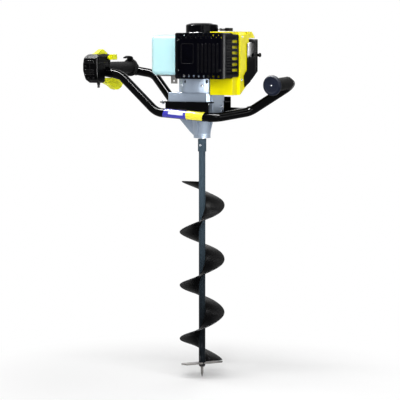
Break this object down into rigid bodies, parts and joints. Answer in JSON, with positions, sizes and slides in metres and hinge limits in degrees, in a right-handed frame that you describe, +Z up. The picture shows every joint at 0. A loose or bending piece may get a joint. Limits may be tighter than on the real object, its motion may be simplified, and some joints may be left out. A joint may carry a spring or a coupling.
{
  "type": "earth auger",
  "caption": "Petrol earth auger with a helical ground bit, reduction gearbox, two-stroke engine with recoil starter, tubular handle frame, grips and throttle trigger.",
  "frame": {"origin": "tip of the pilot point, on the bit's axis, where the bit meets the ground", "axes": "+Z up along the bit's axis, +X towards the right-hand grip, +Y towards the air filter side"},
  "size_m": [0.7011, 0.306, 1.181],
  "materials": {
    "slate_steel": "slate grey paint, worn towards the tip",
    "black_flight": "black paint, semi-gloss",
    "tool_steel": "ground tool steel",
    "bright_steel": "machined steel",
    "rubber_seal": "matte rubber",
    "cast_alloy": "die-cast alloy",
    "black_paint": "gloss black paint",
    "rubber_grip": "soft matte rubber",
    "black_plastic": "moulded, fine grain",
    "black_gloss": "moulded, semi-gloss",
    "yellow_control": "moulded yellow",
    "yellow_cowl": "moulded bright yellow",
    "plug_ceramic": "white glazed insulator",
    "muffler_steel": "heat-stained pressed steel",
    "filter_foam": "oiled foam",
    "white_plastic": "moulded white",
    "rope_fibre": "braided cord",
    "tank_plastic": "translucent pale moulding"
  },
  "bodies": {
    "machine": {"shaft_bearings": "bright_steel", "output_seal": "rubber_seal", "gearbox_housing": "cast_alloy", "gearbox_cover": "cast_alloy", "gearbox_bolts": "bright_steel", "mounting_plate": "black_paint", "handle_bar": "black_paint", "front_frame_tube": "black_paint", "rear_frame_tube": "black_paint", "right_handle_tube": "black_paint", "left_grip": "rubber_grip", "right_grip": "rubber_grip", "throttle_case_left": "black_plastic", "throttle_case_right": "black_plastic", "trigger_pin": "bright_steel", "cable_adjuster": "black_plastic", "clutch_housing": "cast_alloy", "lower_crankcase": "cast_alloy", "upper_crankcase": "cast_alloy", "engine_cylinder": "cast_alloy", "piston": "cast_alloy", "spark_plug": "plug_ceramic", "plug_boot": "rubber_seal", "ignition_coil": "black_plastic", "muffler": "muffler_steel", "carburettor": "cast_alloy", "air_filter_case": "black_plastic", "air_filter_element": "filter_foam", "air_filter_cover": "black_gloss", "engine_cowl": "yellow_cowl", "muffler_cover": "black_gloss", "starter_housing": "black_gloss", "starter_spring": "bright_steel", "fuel_tank": "tank_plastic", "tank_bracket": "bright_steel"},
    "auger": {"auger_tube": "slate_steel", "auger_flight": "black_flight", "auger_pilot": "tool_steel", "cutter_blades": "tool_steel", "coupling_pin": "bright_steel", "output_shaft": "bright_steel", "output_gear": "bright_steel"},
    "layshaft": {"layshaft": "bright_steel", "layshaft_gear": "bright_steel"},
    "input_shaft": {"input_shaft": "bright_steel", "clutch_drum": "bright_steel"},
    "crank": {"crankshaft": "bright_steel", "flywheel": "cast_alloy", "clutch_shoes": "tool_steel", "clutch_spring": "bright_steel"},
    "starter_handle": {"starter_handle": "black_plastic", "starter_rope": "rope_fibre"},
    "starter_reel": {"starter_reel": "white_plastic"},
    "trigger": {"throttle_trigger": "yellow_control"},
    "throttle_arm": {"throttle_arm": "bright_steel"},
    "lockout": {"lockout_lever": "yellow_control"},
    "stop_switch": {"stop_switch": "yellow_control"},
    "choke": {"choke_lever": "black_plastic"},
    "fuel_cap": {"fuel_cap": "black_plastic"}
  },
  "joints": [
    {"name": "auger_spin", "type": "hinge", "parent": "machine", "child": "auger", "pos_m": [0, 0, 0.4], "axis": [0, 0, 1], "continuous": true},
    {"name": "layshaft_spin", "type": "hinge", "parent": "machine", "child": "layshaft", "pos_m": [-0.0455, 0, 0.9], "axis": [0, 0, 1], "continuous": true},
    {"name": "input_spin", "type": "hinge", "parent": "machine", "child": "input_shaft", "pos_m": [0, 0, 0.93], "axis": [0, 0, 1], "continuous": true},
    {"name": "crank_spin", "type": "hinge", "parent": "machine", "child": "crank", "pos_m": [0, 0, 1.055], "axis": [0, 0, 1], "continuous": true},
    {"name": "starter_pull", "type": "slide", "parent": "machine", "child": "starter_handle", "axis": [1, 0, 0], "range_m": [0, 0.6]},
    {"name": "starter_reel_turn", "type": "hinge", "parent": "machine", "child": "starter_reel", "pos_m": [0, 0, 1.16], "axis": [0, 0, 1], "range_deg": [-1146, 0]},
    {"name": "trigger_pull", "type": "hinge", "parent": "machine", "child": "trigger", "pos_m": [-0.33, -0.132, 0.998], "axis": [1, 0, 0], "range_deg": [0, 5], "stiffness_Nm_per_rad": 0.4, "springref_deg": -20.05},
    {"name": "throttle_arm_turn", "type": "hinge", "parent": "machine", "child": "throttle_arm", "pos_m": [0.078, 0.064, 1.075], "axis": [0, 0, 1], "range_deg": [-35, 0]},
    {"name": "lockout_press", "type": "hinge", "parent": "machine", "child": "lockout", "pos_m": [-0.33, -0.14, 1.073], "axis": [-1, 0, 0], "range_deg": [0, 8], "stiffness_Nm_per_rad": 0.4, "springref_deg": -20.05},
    {"name": "stop_slide", "type": "slide", "parent": "machine", "child": "stop_switch", "axis": [0, -1, 0], "range_m": [0, 0.006]},
    {"name": "choke_turn", "type": "hinge", "parent": "machine", "child": "choke", "pos_m": [0.15, 0.068, 1.076], "axis": [1, 0, 0], "range_deg": [0, 70]},
    {"name": "fuel_cap_turn", "type": "hinge", "parent": "machine", "child": "fuel_cap", "pos_m": [-0.113, 0.07, 1.11], "axis": [0, 1, 0], "range_deg": [0, 360]}
  ],
  "couplings": [
    {"joint": "layshaft_spin", "follows": "auger_spin", "ratio": -5.5},
    {"joint": "input_spin", "follows": "auger_spin", "ratio": 30.25},
    {"joint": "starter_reel_turn", "follows": "starter_pull", "rad_per_m": -33.333},
    {"joint": "throttle_arm_turn", "follows": "trigger_pull", "ratio": -7}
  ]
}
